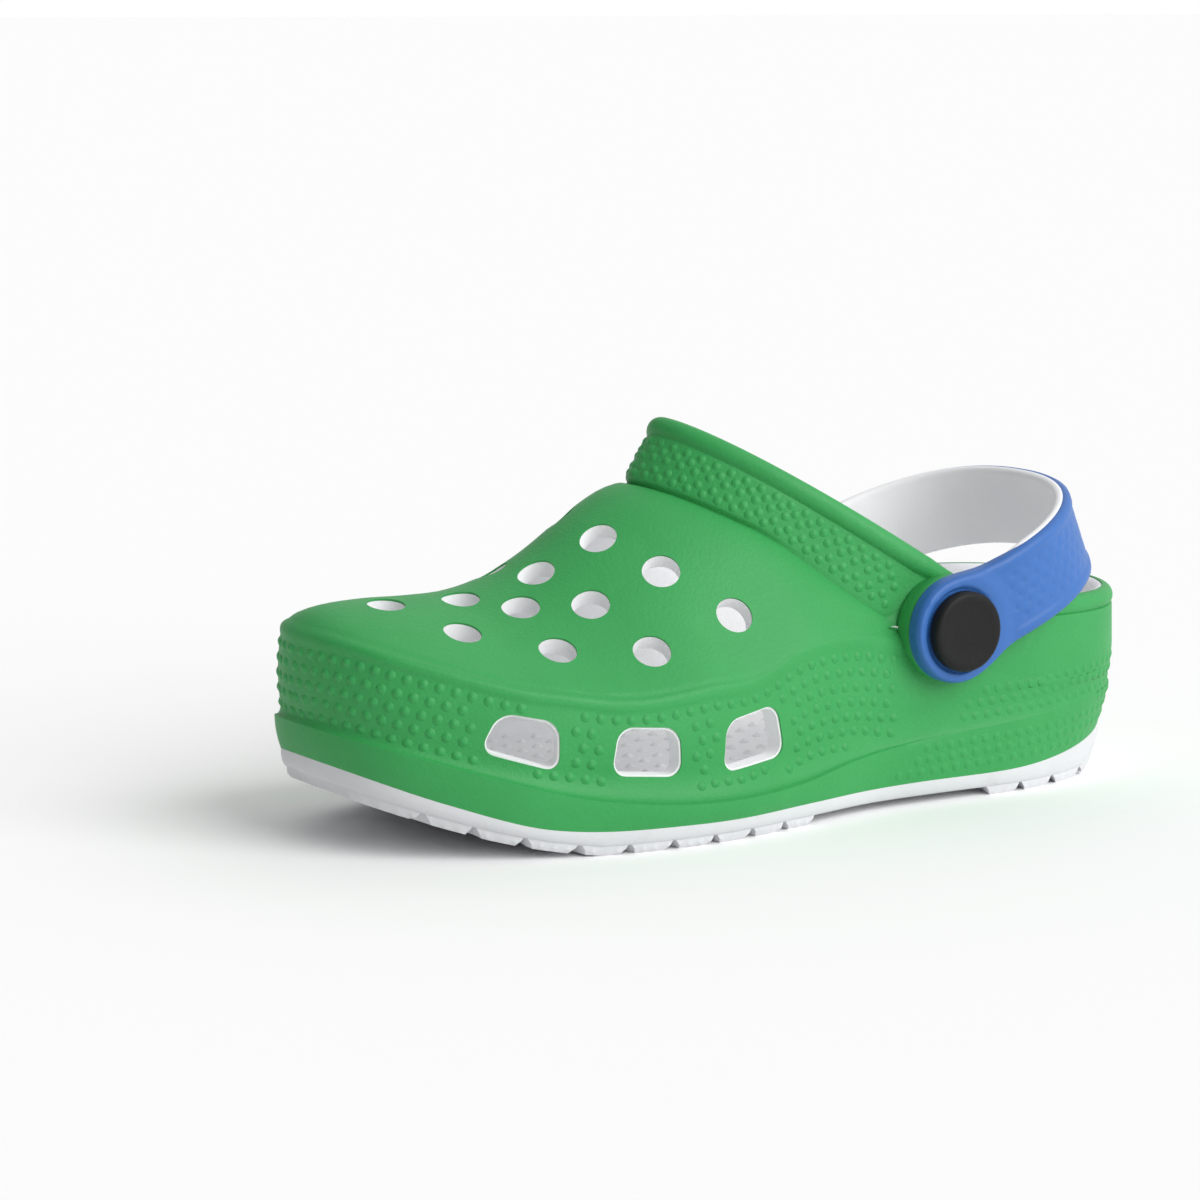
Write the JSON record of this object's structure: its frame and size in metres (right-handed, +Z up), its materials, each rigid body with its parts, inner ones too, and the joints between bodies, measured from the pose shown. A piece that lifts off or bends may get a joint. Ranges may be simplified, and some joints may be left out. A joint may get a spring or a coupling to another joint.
{
  "type": "garden clog",
  "caption": "Closed-toe moulded garden clog, left foot, with a perforated vamp, side vents, ribbed outsole and a swinging heel strap on two snap rivets.",
  "frame": {"origin": "ground level under the middle of the clog's box", "axes": "+Z up, +Y towards the heel, +X towards the little-toe side of this left clog"},
  "size_m": [0.0802, 0.196, 0.0808],
  "materials": {
    "upper_colour": "satin moulded foam, fine grain",
    "inner_foam": "matt moulded foam",
    "sole": "matt moulded foam",
    "strap_colour": "satin moulded foam",
    "rivet": "matt moulded plastic"
  },
  "bodies": {
    "root": {"outer_skin": "upper_colour", "inner_shell": "inner_foam", "footbed": "inner_foam", "outsole": "sole", "rivet_button_lateral": "rivet", "rivet_button_medial": "rivet", "rivet_back_lateral": "rivet", "rivet_back_medial": "rivet"},
    "strap": {"strap_cover": "strap_colour", "strap_core": "inner_foam"}
  },
  "joints": [
    {"name": "strap_pivot", "type": "hinge", "parent": "root", "child": "strap", "pos_m": [0, 0.037, 0.0375], "axis": [1, 0, 0], "range_deg": [0, 94]}
  ]
}
